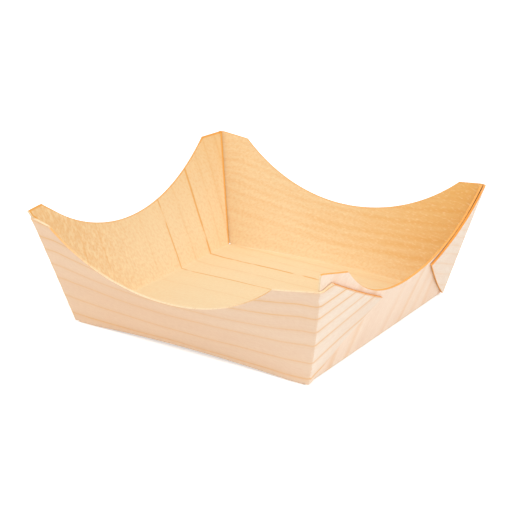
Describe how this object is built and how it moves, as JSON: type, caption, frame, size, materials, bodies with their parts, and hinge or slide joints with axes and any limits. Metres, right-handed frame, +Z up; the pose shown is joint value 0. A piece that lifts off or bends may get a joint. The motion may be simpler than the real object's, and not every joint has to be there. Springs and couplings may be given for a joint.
{
  "type": "wood veneer food boat",
  "caption": "Open square food boat folded from one sheet of pine veneer, with hollow-cut rims, a horn at each corner and glued corner tabs.",
  "frame": {"origin": "middle of the base's underside, on the surface that the boat stands on", "axes": "+Z up out of the open top, +X along the grain to the right wall, +Y to the back wall, so the front wall faces -Y"},
  "size_m": [0.1143, 0.1125, 0.0414],
  "materials": {
    "pine_veneer": "bare, smooth rotary-cut veneer"
  },
  "bodies": {
    "root": {"veneer_boat": "pine_veneer"}
  },
  "joints": []
}
